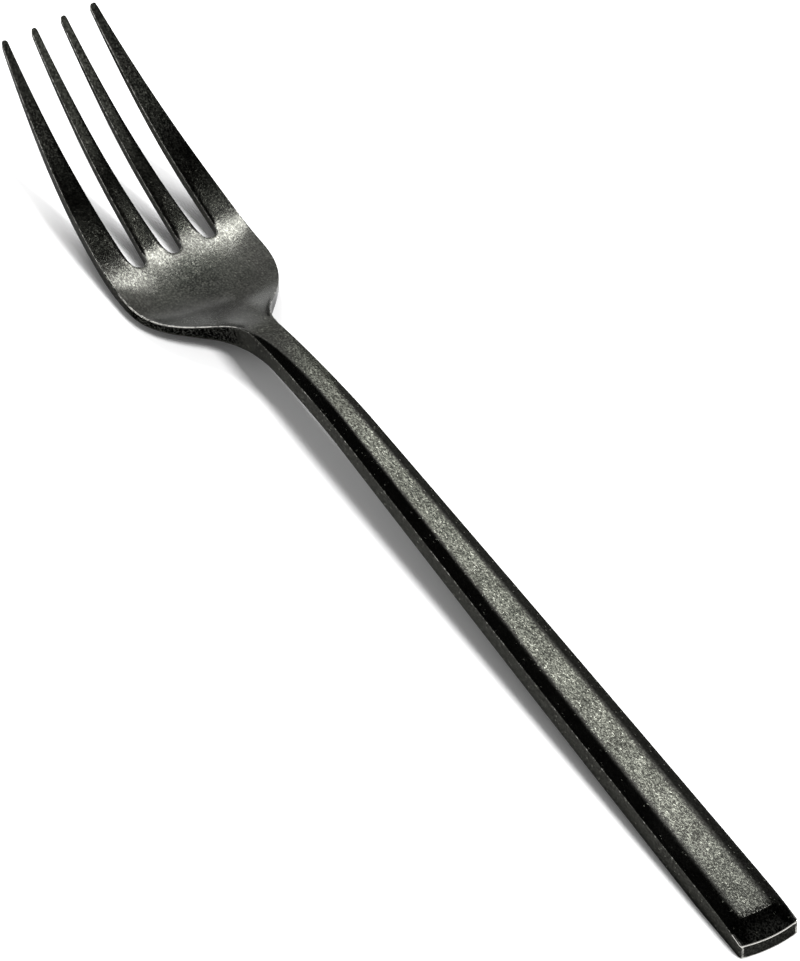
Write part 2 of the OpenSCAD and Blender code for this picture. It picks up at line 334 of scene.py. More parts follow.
def slotEdges(x):  # the y of each slot's two sides
    root = s["slotX"] + s["slotRootWidth"] / 2
    t = clamp((x - root) / (s["length"] - root))
    centre = mix(s["slotRootPitch"], s["slotTipPitch"], t)
    return [(k * centre - slotHalf(t), k * centre + slotHalf(t)) for k in (-1, 0, 1)]


def slotRoll(x, y):
    root = s["slotX"] + s["slotRootWidth"] / 2
    if x < s["slotX"] - s["slotRollWidth"]:
        return 0.0
    gap = s["slotRollWidth"]
    for low, high in slotEdges(x):
        across = abs(y - (low + high) / 2)
        reach = math.hypot(across, max(0.0, root - x)) - (high - low) / 2
        gap = min(gap, max(0.0, reach))
    start = ease((x - s["slotX"] + s["slotRollBefore"]) / s["slotRollRun"])
    return s["slotRollDepth"] * start * (1 - gap / s["slotRollWidth"]) ** 2


def outerLift(x, y):
    amount = s["leftLift"] if y > 0 else s["rightLift"]
    rise = ease((x - s["slotX"] + s["liftBefore"]) / s["liftRun"])
    fall = ease((s["length"] - s["liftEnd"] - x) / s["liftFall"])
    across = ease((abs(y) - s["liftInner"]) / s["liftAcross"])
    return amount * (rise * fall) * across


def topZ(x, y):
    return edgeZ(x) + crown(x, y) - dish(x, y) - slotRoll(x, y) + outerLift(x, y)


def underZ(x, y):
    if x < s["handleLength"]:
        return max(0.0, underLine(x))
    return edgeZ(x) - sideHeight(x) - dish(x, y)


def deselectAll():
    if bpy.context.object and bpy.context.object.mode != "OBJECT":
        bpy.ops.object.mode_set(mode="OBJECT")
    bpy.ops.object.select_all(action="DESELECT")


def activate(obj):
    deselectAll()
    obj.select_set(True)
    bpy.context.view_layer.objects.active = obj


def editMode(obj, kind="VERT"):
    activate(obj)
    bpy.ops.object.mode_set(mode="EDIT")
    bpy.ops.mesh.select_mode(type=kind)
    bpy.ops.mesh.select_all(action="DESELECT")


def objectMode():
    bpy.ops.object.mode_set(mode="OBJECT")


def applyModifiers(obj):
    activate(obj)
    for modifier in list(obj.modifiers):
        bpy.ops.object.modifier_apply(modifier=modifier.name)


def place(x, y, z):  # millimetres from the butt to the part's frame
    return Vector(((x - s["length"] / 2) * mm, y * mm, z * mm))


def fromButt(co):  # and back
    return co.x / mm + s["length"] / 2, co.y / mm, co.z / mm


skinGrid = {  # the whole fork is one skin, with its slots laid out in the mesh
    "buttRows": 14,
    "buttEnd": 6.0,  # the close rows at the butt reach to here
    "buttSpread": 1.6,  # above 1, they lie closest at the end
    "bendRows": (-0.2, -0.1, 0.0, 0.1, 0.2, 0.32),  # close rows where the strip ends
    "handleRows": 147,
    "bowlRows": 28,
    "tineRows": 50,
    "tineCells": [0.06, 0.08, 0.1, 0.12, 0.14, 0.14, 0.12, 0.1, 0.08, 0.06],
    "slotCells": 8,
    "rimCell": 0.06,  # share of the width that the outermost cell takes along the handle
    "rimBand": 0.35,  # millimetres between a rim and the next row down the side
    "bowlStart": 151.0,
    "laneStart": 150.0,  # from here the columns move towards the sides of the slots
    "rootRows": 6,  # rows that bend into the round slot root
    "rimAngle": 35,  # edges sharper than this, in degrees, are rounded
    "rimSegments": 3,
    "smoothAngle": 40,
}


def rowStations():
    g = skinGrid
    root = s["slotX"] + s["slotRootWidth"] / 2
    end, bowl = g["buttEnd"], g["bowlStart"]
    rows = [end * (i / g["buttRows"]) ** g["buttSpread"] for i in range(g["buttRows"])]
    rows += [s["buttRollWidth"] + step for step in g["bendRows"]]
    rows.sort()
    rows += [mix(end, bowl, i / g["handleRows"]) for i in range(g["handleRows"])]
    rows += [mix(bowl, root, i / g["bowlRows"]) for i in range(g["bowlRows"])]
    rows += [mix(root, s["length"], i / g["tineRows"]) for i in range(g["tineRows"] + 1)]
    return rows, rows.index(root)


def acrossAt(x):  # y of every column past the slot roots
    edges = slotEdges(x)
    half = halfWidth(x)
    starts = [-half] + [e[1] for e in edges]
    ends = [e[0] for e in edges] + [half]
    line = []
    for k in range(4):
        y = starts[k]
        for share in skinGrid["tineCells"]:
            line.append(y)
            y += (ends[k] - starts[k]) * share
        line.append(ends[k])
        if k < 3:
            low, high = edges[k]
            count = skinGrid["slotCells"]
            for i in range(1, count):
                turn = math.pi * i / count
                line.append((low + high) / 2 - (high - low) / 2 * math.cos(turn))
    return line


def forkSkin():
    rows, rootRow = rowStations()
    cells = skinGrid["slotCells"]
    tineCount = len(skinGrid["tineCells"])
    columns = 4 * tineCount + 3 * cells
    lane = tineCount + cells
    slotStarts = [tineCount + lane * k for k in range(3)]

    rim = skinGrid["rimCell"] * 2
    inner = [mix(-1 + rim, 1 - rim, i / (columns - 2)) for i in range(columns - 1)]
    even = [-1.0] + inner + [1.0]
    rootX = rows[rootRow]
    laneStart = skinGrid["laneStart"]
    rootLine = [y / halfWidth(rootX) for y in acrossAt(rootX)]

    deselectAll()
    bpy.ops.mesh.primitive_grid_add(
        x_subdivisions=len(rows) - 1, y_subdivisions=columns, size=1
    )
    skin = bpy.context.object
    skin.name = "forkSkin"

    def rowOf(x):
        return round((x + 0.5) * (len(rows) - 1))

    def columnOf(y):
        return round((y + 0.5) * columns)

    editMode(skin, "FACE")
    objectMode()
    for face in skin.data.polygons:
        cell = (face.center.y + 0.5) * columns
        inSlot = any(a < cell < a + cells for a in slotStarts)
        face.select = inSlot and (face.center.x + 0.5) * (len(rows) - 1) > rootRow
    bpy.ops.object.mode_set(mode="EDIT")
    bpy.ops.mesh.delete(type="FACE")
    objectMode()

    for vertex in skin.data.vertices:
        i, j = rowOf(vertex.co.x), columnOf(vertex.co.y)
        x = rows[i]
        if i > rootRow:
            y = acrossAt(x)[j]
            if i == len(rows) - 1:  # the corners of each tine's end stand back
                k = j % lane
                t = 2 * sum(skinGrid["tineCells"][:k]) - 1
                x -= s["tipRound"] * abs(t) ** s["tipRoundPower"]
        else:
            near = ease((x - laneStart) / (rootX - laneStart))
            v = mix(even[j], rootLine[j], near)
            corner = s["buttCorner"]
            back = corner - math.sqrt(corner**2 - max(0.0, corner - x) ** 2)
            y = v * (halfWidth(x) - back)
            x += s["buttBow"] * even[j] ** 2 * clamp(1 - x / skinGrid["buttEnd"])
            for a in slotStarts:
                if a <= j <= a + cells:
                    bend = clamp(1 - (rootRow - i) / skinGrid["rootRows"])
                    arc = math.sin(math.pi * (j - a) / cells)
                    x -= s["slotRootWidth"] / 2 * arc * bend
        vertex.co = place(x, y, topZ(x, y))

    rimBand = skinGrid["rimBand"]
    editMode(skin, "FACE")
    bpy.ops.mesh.select_all(action="SELECT")
    for level in ("upper", "lower", "under"):
        bpy.ops.mesh.extrude_region_move(TRANSFORM_OT_translate={"value": (0, 0, -mm / 2)})
        objectMode()
        for vertex in skin.data.vertices:
            if vertex.select:
                x, y = fromButt(vertex.co)[:2]
                heights = {
                    "upper": topZ(x, y) - rimBand,
                    "lower": underZ(x, y) + rimBand,
                    "under": underZ(x, y),
                }
                vertex.co = place(x, y, heights[level])
        bpy.ops.object.mode_set(mode="EDIT")
    objectMode()
    editMode(skin, "EDGE")
    bpy.ops.mesh.select_all(action="SELECT")
    bpy.ops.mesh.normals_make_consistent(inside=False)
    bpy.ops.mesh.select_all(action="DESELECT")
    bpy.ops.mesh.edges_select_sharp(sharpness=math.radians(skinGrid["rimAngle"]))
    bpy.ops.mesh.bevel(
        offset=s["rimRadius"] * mm,
        segments=skinGrid["rimSegments"],
        profile=0.5,
        clamp_overlap=False,
    )
    objectMode()
    return skin


rimWear = {  # how bare the rims are rubbed
    "butt": 1.0,
    "buttEdge": 0.75,
    "buttCorner": 0.75,
    "longEdge": 0.64,
    "heel": 0.78,
    "tineEdge": 0.72,
    "under": 0.3,
}
rimPlaces = {  # millimetres
    "buttReach": 3.0,
    "buttUnder": 1.2,  # reach of the butt's wear on the underside
    "buttBand": 0.2,  # on either side of the butt's top edge
    "cornerBand": 0.1,
    "heelPast": 4.0,  # the heel's rim ends this far past bowlX
    "underDrop": 1.0,  # a rim this far below the side edge is one of the underside
}


def spots(skin):  # each vertex with its place in millimetres
    for i, vertex in enumerate(skin.data.vertices):
        yield i, *fromButt(vertex.co)


def newValues(skin, name):
    return skin.data.attributes.new(name, "FLOAT", "POINT").data


def isUnder(x, z):
    return z < edgeZ(max(x, 0.0)) - rimPlaces["underDrop"]


def rimAmount(x, y, z):
    if isUnder(x, z):
        return rimWear["butt" if x < rimPlaces["buttUnder"] else "under"]
    if s["neckX"] < x < s["bowlX"] + rimPlaces["heelPast"] and y > 0:
        return rimWear["heel"]
    if x > s["slotX"]:
        return rimWear["tineEdge"]
    return rimWear["butt" if x < rimPlaces["buttReach"] else "longEdge"]


def paintRims(skin, rims):
    wear = newValues(skin, "rimWear")
    band = rimPlaces["buttBand"]
    cornerX = s["buttCorner"] + rimPlaces["cornerBand"]
    for i, x, y, z in spots(skin):
        if i in rims:
            wear[i].value = rimAmount(x, y, z)
        edgeBack = x - s["buttBow"] * (y / halfWidth(0)) ** 2
        if edgeBack < band and z > edgeZ(0) - band:
            wear[i].value = max(wear[i].value, rimWear["buttEdge"])
        if x < cornerX and abs(y) > halfWidth(0) - s["buttCorner"]:
            wear[i].value = max(wear[i].value, rimWear["buttCorner"])


topRub = {  # the worn strip along the handle's top and the worn tops of the tines
    "outerTine": 0.58,
    "innerTine": 0.85,
    "outerStart": 5.5,  # the outer tines begin this far from the middle line
    "tineGap": 1.0,  # between slotX and the wear on the tines
    "tineRun": 5.0,
    "topBand": 0.2,
    "neckPast": 2.0,  # the strip ends this far past neckX
    "neckRun": 30.0,
    "inset": 0.85,  # shares of the slope's width
    "insetRun": 0.6,
    "rightShift": 1.2,  # near the neck the worn strip reaches the right edge
    "rightShiftX": 122.0,
    "rightShiftRun": 10.0,
    "buttGap": 0.1,  # between the butt's slope and the strip
    "buttRun": 1.4,
    "buttShare": 0.3,  # the wear starts weak at the butt
    "fullX": 55.0,
}


def stripRub(x, y):
    t = topRub
    end = s["neckX"] + t["neckPast"]
    along = ease((end - x) / t["neckRun"])
    inset = (halfWidth(max(x, 0.0)) - abs(y)) / sideRollWidth(max(x, 0.0))
    if y < 0:
        inset += t["rightShift"] * ease((x - t["rightShiftX"]) / t["rightShiftRun"])
    across = ease((inset - t["inset"]) / t["insetRun"])
    start = ease((x - s["buttRollWidth"] - t["buttGap"]) / t["buttRun"])
    return along * across * (start * mix(t["buttShare"], 1.0, clamp(x / t["fullX"])))


def tineRub(x, y):
    t = topRub
    amount = mix(t["innerTine"], t["outerTine"], ease(abs(y) - t["outerStart"]))
    return amount * ease((x - s["slotX"] - t["tineGap"]) / t["tineRun"])


def paintRub(skin):
    rub = newValues(skin, "topRub")
    end = s["neckX"] + topRub["neckPast"]
    for i, x, y, z in spots(skin):
        if x < end and z > edgeZ(max(x, 0.0)) - topRub["topBand"]:
            rub[i].value = stripRub(x, y)
        if x > s["slotX"] and z > topZ(x, y) - topRub["topBand"]:
            rub[i].value = tineRub(x, y)


heelScuff = {
    "startRun": 6.0,  # fades in from the waist and out towards bowlX
    "endRun": 9.0,
    "topBand": 0.15,
    "leftLeast": 0.1,
    "leftInset": 3.0,  # grows to the left from this far right of the middle line
    "leftRun": 10.0,
    "right": 0.45,
    "rightInset": 1.0,
    "rightRun": 3.0,
    "rightEnd": 158.0,
    "rightFade": 4.0,
}


def paintScuff(skin):
    h = heelScuff
    scuff = newValues(skin, "heelScuff")
    for i, x, y, z in spots(skin):
        if s["waistX"] < x < s["bowlX"] and z > topZ(x, y) - h["topBand"]:
            near = ease((x - s["waistX"]) / h["startRun"])
            near *= ease((s["bowlX"] - x) / h["endRun"])
            left = mix(h["leftLeast"], 1.0, clamp((y + h["leftInset"]) / h["leftRun"]))
            right = h["right"] * clamp((-y - h["rightInset"]) / h["rightRun"])
            right *= ease((h["rightEnd"] - x) / h["rightFade"])
            scuff[i].value = near * max(left, right)


headGrain = {
    "before": 6.0,  # the head's own grain begins this far before the waist
    "run": 14.0,
    "tineGap": 3.0,
    "tineRun": 6.0,
    "tineLoss": 0.5,
}


def paintGrain(skin):
    h = headGrain
    grain = newValues(skin, "headGrain")
    for i, x, y, z in spots(skin):
        onTines = ease((x - s["slotX"] - h["tineGap"]) / h["tineRun"])
        onHead = ease((x - s["waistX"] + h["before"]) / h["run"])
        grain[i].value = onHead * (1 - h["tineLoss"] * onTines)


paintedShade = {  # painted shade: shares of the colour taken away on the walls, the butt, the strip's end, the tines and the bowl's floor
    "heelWall": 0.85,
    "tineWall": 0.25,
    "tipWall": 0.6,
    "buttEnd": 0.45,
    "buttSlope": 0.65,
    "stripEnd": 0.25,
    "outerTine": 0.4,
    "innerTine": 0.1,
    "bowlFloor": 0.4,
    "footEdge": 0.8,
    "handleSide": 0.14,
}
shadePlaces = {  # where the painted shade lies, in millimetres, but for the first
    "topShare": 0.7,  # the top reaches this share of rimBand down
    "footStart": 1.2,
    "wallBefore": 1.0,  # the head's walls begin this far before the waist
    "heelGap": 1.0,
    "heelRun": 5.0,
    "tineBefore": 4.0,  # the walls begin to pale this far before bowlX
    "tineWallRun": 10.0,
    "tipX": 196.0,
    "tipRun": 7.0,
    "buttEnd": 1.0,
    "stripX": 26.0,
    "stripRun": 14.0,
    "slopePast": 2.6,
    "slopeRun": 2.4,
    "floorCentre": (165.2, 0.4),
    "floorReach": (5.5, 5.0),
    "floorPast": 2.0,  # the bowl's floor ends this far past slotX
    "outerStart": 6.0,
    "leftBefore": 4.0,  # the left tine darkens from before slotX, the others past it
    "othersPast": 3.0,
    "tineRun": 5.0,
}


# painted shade on the sides: darker on the butt's end, the handle's sides and the head's
# walls
def wallShade(x):
    f, p = paintedShade, shadePlaces
    if x < p["buttEnd"]:
        return f["buttEnd"]
    if x <= s["waistX"] - p["wallBefore"]:
        return f["handleSide"]
    far = ease((x - s["bowlX"] + p["tineBefore"]) / p["tineWallRun"])
    near = ease((x - s["waistX"] - p["heelGap"]) / p["heelRun"])
    wall = mix(f["heelWall"], f["tineWall"], far)
    return near * mix(wall, f["tipWall"], ease((x - p["tipX"]) / p["tipRun"]))


# painted shade on the top: the strip's end, the butt's slope, a dark place in the bowl's
# floor and the tines
def topShade(x, y):
    f, p = paintedShade, shadePlaces
    shade = 0.0
    if x < p["stripX"]:
        shade = f["stripEnd"] * ease((p["stripX"] - x) / p["stripRun"])
    slopeEnd = s["buttRollWidth"] + p["slopePast"]
    if x < slopeEnd:
        shade = max(shade, f["buttSlope"] * ease((slopeEnd - x) / p["slopeRun"]))
    if s["neckX"] < x < s["slotX"] + p["floorPast"]:
        (midX, midY), (reachX, reachY) = p["floorCentre"], p["floorReach"]
        away = ((x - midX) / reachX) ** 2 + ((y - midY) / reachY) ** 2
        shade = f["bowlFloor"] * math.exp(-away)
    start = s["slotX"] + p["othersPast"]
    if y > p["outerStart"]:
        start = s["slotX"] - p["leftBefore"]
    if x > start:
        tine = f["outerTine"] if abs(y) > p["outerStart"] else f["innerTine"]
        shade = tine * ease((x - start) / p["tineRun"])
    return shade


# the painted shade is written into the attribute 'shade', which darkens the colour towards
# black
def paintShade(skin, rims):
    p = shadePlaces
    topBand = skinGrid["rimBand"] * p["topShare"]
    shade = newValues(skin, "shade")
    for i, x, y, z in spots(skin):
        if i in rims:
            if isUnder(x, z) and p["footStart"] < x < s["waistX"]:
                shade[i].value = paintedShade["footEdge"]
        elif z > topZ(x, y) - topBand:
            shade[i].value = topShade(x, y)
        else:
            shade[i].value = wallShade(x)


def paintWear(skin):  # the skin's rims are its selected faces
    rims = set()
    for face in skin.data.polygons:
        if face.select:
            rims.update(face.vertices)
    paintRims(skin, rims)
    paintRub(skin)
    paintScuff(skin)
    paintGrain(skin)
    paintShade(skin, rims)


def cutPiece(source, name, planes):
    activate(source)
    bpy.ops.object.duplicate()
    piece = bpy.context.object
    piece.name = name
    for point, normal in planes:  # what lies on the normal's side is cut away
        editMode(piece, "VERT")
        bpy.ops.mesh.select_all(action="SELECT")
        bpy.ops.mesh.bisect(
            plane_co=point,
            plane_no=normal,
            use_fill=True,
            clear_outer=True,
            threshold=1e-7,
        )
        objectMode()
    return piece


blockSize = 5  # millimetres: size and middle height of a block before it is shaped


def blockForm(name, x0, x1):  # a block between two stations, shaped later by its corners
    size = blockSize * mm
    deselectAll()
    bpy.ops.mesh.primitive_cube_add(size=1, location=place((x0 + x1) / 2, 0, blockSize))
    form = bpy.context.object
    form.name = name
    form.scale = ((x1 - x0) * mm, size, size)
    bpy.ops.object.transform_apply(location=True, rotation=True, scale=True)
    return form


def cavityForm():  # the room inside the two shells
    x0, x1 = s["endWall"], s["handleLength"] + s["seamReach"]
    roofRise = s["crownHeight"] - s["shellRoof"]

    def floorAt(x):
        return s["shellWall"] + max(0.0, underLine(x))

    def roofAt(x):
        knee = s["buttDropLength"]
        if x < knee:
            return mix(edgeZ(x0), edgeLine(knee), (x - x0) / (knee - x0)) + roofRise
        return mix(edgeLine(knee), edgeLine(x1), (x - knee) / (x1 - knee)) + roofRise

    def sideAt(x):
        return mix(halfWidth(x0), halfWidth(x1), (x - x0) / (x1 - x0)) - s["shellWall"]

    form = blockForm("cavityForm", x0, x1)
    for knee in (s["buttDropLength"], s["footLength"]):
        editMode(form)
        bpy.ops.mesh.select_all(action="SELECT")
        bpy.ops.mesh.bisect(plane_co=place(knee, 0, 0), plane_no=(1, 0, 0))
        objectMode()
    for vertex in form.data.vertices:
        x = fromButt(vertex.co)[0]
        high = vertex.co.z > blockSize * mm
        side = 1 if vertex.co.y > 0 else -1
        vertex.co = place(x, side * sideAt(x), roofAt(x) if high else floorAt(x))
    return form


def tangForm():
    end = s["handleLength"]
    room = edgeLine(end) - underLine(end) + s["crownHeight"] - s["shellRoof"]
    mid = (s["shellWall"] + room) / 2
    form = blockForm("tangForm", end - s["tangLength"], end + s["seamReach"])
    for vertex in form.data.vertices:
        x = fromButt(vertex.co)[0]
        up = 1 if vertex.co.z > blockSize * mm else -1
        side = 1 if vertex.co.y > 0 else -1
        width = s["tangTipWidth"] if x < end else s["tangRootWidth"]
        z = underLine(x) + mid + up * s["tangThickness"] / 2
        vertex.co = place(x, side * width / 2, z)
    return form


def combine(piece, form, operation):
    boolean = piece.modifiers.new("fit", "BOOLEAN")
    boolean.object = form
    boolean.operation = operation
    boolean.solver = "EXACT"
    applyModifiers(piece)


def finishPiece(piece, node):
    activate(piece)
    bpy.ops.object.shade_smooth_by_angle(angle=math.radians(skinGrid["smoothAngle"]))
    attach(piece, "root")
    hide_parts(node)


skin = forkSkin()
paintWear(skin)
print("fork skin", len(skin.data.polygons), "faces")

seam = place(s["handleLength"], 0, 0)
weldPoint = place(s["footLength"], 0, s["weldHeight"])
weldNormal = Vector((-(underLine(1) - underLine(0)), 0, 1)).normalized()

head = cutPiece(skin, "headAndTines", [(seam, (-1, 0, 0))])
topShell = cutPiece(skin, "upperShell", [(seam, (1, 0, 0)), (weldPoint, -weldNormal)])
lowShell = cutPiece(skin, "lowerShell", [(seam, (1, 0, 0)), (weldPoint, weldNormal)])
cavity = cavityForm()
tang = tangForm()
combine(head, tang, "UNION")
combine(topShell, cavity, "DIFFERENCE")
combine(lowShell, cavity, "DIFFERENCE")
for helper in (skin, cavity, tang):
    bpy.data.objects.remove(helper)
finishPiece(head, "fork_head")
finishPiece(topShell, "handle_top_shell")
finishPiece(lowShell, "handle_bottom_shell")
print("pieces", [(p.name, len(p.data.polygons)) for p in (head, topShell, lowShell)])


def groupNode(tree, group, **values):
    node = tree.nodes.new("ShaderNodeGroup")
    node.node_tree = group
    for name, value in values.items():
        node.inputs[name].default_value = value
    return node


def newGroup(name, inputs, outputs):
    group = bpy.data.node_groups.new(name, "ShaderNodeTree")
    sockets = group.interface
    for label, default in inputs.items():
        kind = "NodeSocketVector" if default is None else "NodeSocketFloat"
        socket = sockets.new_socket(name=label, in_out="INPUT", socket_type=kind)
        if default is not None:
            socket.default_value = default
    for label in outputs:
        sockets.new_socket(name=label, in_out="OUTPUT", socket_type="NodeSocketFloat")
    source = group.nodes.new("NodeGroupInput")
    target = group.nodes.new("NodeGroupOutput")
    return group, source, target


def math2(tree, operation, a, b, limit=False):
    node = tree.nodes.new("ShaderNodeMath")
    node.operation = operation
    node.use_clamp = limit
    for socket, value in zip(node.inputs, (a, b)):
        if isinstance(value, (int, float)):
            socket.default_value = value
        else:
            tree.links.new(value, socket)
    return node.outputs[0]


def remap(tree, value, low, high, toLow=0.0, toHigh=1.0):
    node = tree.nodes.new("ShaderNodeMapRange")
    node.interpolation_type = "SMOOTHSTEP"
    tree.links.new(value, node.inputs["Value"])
    node.inputs["From Min"].default_value = low
    node.inputs["From Max"].default_value = high
    node.inputs["To Min"].default_value = toLow
    node.inputs["To Max"].default_value = toHigh
    return node.outputs["Result"]


def noise(tree, vector, scale, detail=2.0, roughness=0.5):
    node = tree.nodes.new("ShaderNodeTexNoise")
    tree.links.new(vector, node.inputs["Vector"])
    if isinstance(scale, (int, float)):
        node.inputs["Scale"].default_value = scale
    else:
        tree.links.new(scale, node.inputs["Scale"])
    node.inputs["Detail"].default_value = detail
    node.inputs["Roughness"].default_value = roughness
    return node.outputs["Fac"]


tumbled = {  # scales are in cells or waves per metre
    "stretch": (0.7, 1.0, 1.0),  # the marks run a little along the fork
    "pits": {"detail": 2.5, "roughness": 0.65},
    "soft": {"scale": 900.0, "detail": 3.0},
    "softShare": 0.8,
    "speckle": {"scale": 3400.0, "detail": 3.0, "roughness": 0.75},
    "speckleRange": (0.38, 0.66),
    "fleckScale": 5500.0,
    "bendScale": 600.0,
    "bend": 0.0005,  # how far, in metres, the long scratches stray
    "lineScale": 1100.0,
    "lineWidth": 0.045,
    "gaps": {"scale": 1500.0, "detail": 1.0},  # the long scratches are broken up
    "gapRange": (0.56, 0.7),
    "dashLength": 8.0,  # times their width
    "dashRange": (0.72, 0.8),
    "dashWays": ((-6, 5200), (17, 4600), (-31, 6000), (58, 5600)),  # degrees, scale
    "mottle": {"scale": 260.0, "detail": 3.0},
}


def fineGrainGroup():  # a tumbled surface: fine pits, bright flecks and broken scratches
    t = tumbled
    group, source, target = newGroup(
        "fineGrain",
        {"Vector": None, "Grain scale": 4200.0, "Fleck share": 0.13},
        ["Height", "Speckle", "Flecks", "Scratches", "Mottle"],
    )
    stretch = group.nodes.new("ShaderNodeVectorMath")
    stretch.operation = "MULTIPLY"
    stretch.inputs[1].default_value = t["stretch"]
    group.links.new(source.outputs["Vector"], stretch.inputs[0])
    vector = stretch.outputs[0]
    grain = noise(group, vector, source.outputs["Grain scale"], **t["pits"])
    soft = noise(group, vector, **t["soft"])
    height = math2(group, "ADD", grain, math2(group, "MULTIPLY", soft, t["softShare"]))
    group.links.new(height, target.inputs["Height"])
    fine = noise(group, vector, **t["speckle"])
    group.links.new(remap(group, fine, *t["speckleRange"]), target.inputs["Speckle"])

    cellsNode = group.nodes.new("ShaderNodeTexVoronoi")
    cellsNode.inputs["Scale"].default_value = t["fleckScale"]
    group.links.new(vector, cellsNode.inputs["Vector"])
    split = group.nodes.new("ShaderNodeSeparateColor")
    group.links.new(cellsNode.outputs["Color"], split.inputs["Color"])
    limit = math2(group, "SUBTRACT", 1.0, source.outputs["Fleck share"])
    chosen = math2(group, "GREATER_THAN", split.outputs["Red"], limit)
    flecks = math2(group, "MULTIPLY", chosen, split.outputs["Green"])
    group.links.new(flecks, target.inputs["Flecks"])

    bend = group.nodes.new("ShaderNodeTexNoise")
    bend.inputs["Scale"].default_value = t["bendScale"]
    group.links.new(vector, bend.inputs["Vector"])
    shift = group.nodes.new("ShaderNodeVectorMath")
    shift.operation = "MULTIPLY_ADD"
    group.links.new(bend.outputs["Color"], shift.inputs[0])
    shift.inputs[1].default_value = (t["bend"],) * 3
    group.links.new(vector, shift.inputs[2])
    lines = group.nodes.new("ShaderNodeTexVoronoi")
    lines.feature = "DISTANCE_TO_EDGE"
    lines.inputs["Scale"].default_value = t["lineScale"]
    group.links.new(shift.outputs[0], lines.inputs["Vector"])
    thin = remap(group, lines.outputs["Distance"], t["lineWidth"], 0.0)
    broken = remap(group, noise(group, vector, **t["gaps"]), *t["gapRange"])
    scratches = math2(group, "MULTIPLY", thin, broken)
    for turn, scale in t["dashWays"]:  # straight dashes, several ways across each other
        way = group.nodes.new("ShaderNodeMapping")
        way.vector_type = "TEXTURE"
        way.inputs["Rotation"].default_value = (0, 0, math.radians(turn))
        way.inputs["Scale"].default_value = (t["dashLength"], 1.0, 1.0)
        group.links.new(vector, way.inputs["Vector"])
        waves = noise(group, way.outputs[0], scale, detail=0.0)
        scratches = math2(group, "MAXIMUM", scratches, remap(group, waves, *t["dashRange"]))
    group.links.new(scratches, target.inputs["Scratches"])

    mottle = noise(group, vector, **t["mottle"])
    group.links.new(mottle, target.inputs["Mottle"])
    return group


bareRim = {
    "dots": {"scale": 1500.0, "detail": 3.0, "roughness": 0.7},
    "dotShare": 0.9,
    "tightness": 2.0,  # above 1, the bare metal keeps closer to the rim
    "range": (0.85, 1.15),
}


def rimWearGroup():  # bare metal along the rims, broken up by noise
    group, source, target = newGroup(
        "rimWear", {"Vector": None, "Rim": 0.0, "Amount": 1.0}, ["Bare"]
    )
    dots = noise(group, source.outputs["Vector"], **bareRim["dots"])
    dots = math2(group, "MULTIPLY", dots, bareRim["dotShare"])
    tight = math2(group, "POWER", source.outputs["Rim"], bareRim["tightness"])
    wanted = math2(group, "MULTIPLY", tight, source.outputs["Amount"])
    bare = remap(group, math2(group, "ADD", wanted, dots), *bareRim["range"])
    group.links.new(bare, target.inputs["Bare"])
    return group


fineGrain = fineGrainGroup()
rimWearNodes = rimWearGroup()

blackSteel = {
    "dark": (0.023, 0.023, 0.0208, 1),
    "light": (0.05, 0.0505, 0.0457, 1),
    "rubbedDark": (0.017, 0.018, 0.015, 1),
    "rubbedLight": (0.118, 0.122, 0.104, 1),
    "fleck": (0.24, 0.245, 0.21, 1),
    "bare": (0.5, 0.49, 0.46, 1),
    "roughness": (0.13, 0.21),
    "roughMottle": (0.3, 0.7),  # the part of the mottle that the roughness follows
    "rubUneven": 0.4,  # how ragged the border of the rubbed strip is
    "rubRange": (0.1, 0.9),
    "scuffed": (0.068, 0.069, 0.066, 1),
    "scuffDull": 0.7,  # how matt the scuffed floor of the bowl is behind the heel
    "scratchShare": 0.5,
    "fleckShare": 0.14,  # how much of the flecks shows where nothing is rubbed
    "headRoughness": -0.015,  # added on the light specks of the bowl and tines
    "patchy": 0.18,  # darker patches in the finish of the bowl
    "patchRange": (0.45, 0.65),
    "ragged": 1.1,  # how unevenly a place with painted shade darkens
    "speckShare": 0.6,  # the few specks that catch the light from every side
    "speckRange": (0.88, 0.95),
    "headSpecks": 0.45,  # taken from the specks on the bowl and tines
    "speckRoughness": 0.6,
    "edgeTint": (0.46, 0.46, 0.46, 1),  # weakens the reflection at a glancing angle
    "bumpDistance": 0.000012,
}


def blend(tree, factor, a, b):
    node = tree.nodes.new("ShaderNodeMix")
    node.data_type = "RGBA"
    for name, value in (("Factor", factor), ("A", a), ("B", b)):
        socket = next(i for i in node.inputs if i.name == name and i.enabled)
        if isinstance(value, bpy.types.NodeSocket):
            tree.links.new(value, socket)
        else:
            socket.default_value = value
    return next(o for o in node.outputs if o.enabled)


def attribute(tree, name):
    node = tree.nodes.new("ShaderNodeAttribute")
    node.attribute_name = name
    return node.outputs["Fac"]


def addBump(tree, shader, grain, distance):
    bump = tree.nodes.new("ShaderNodeBump")
    bump.inputs["Distance"].default_value = distance
    tree.links.new(grain.outputs["Height"], bump.inputs["Height"])
    tree.links.new(bump.outputs["Normal"], shader.inputs["Normal"])


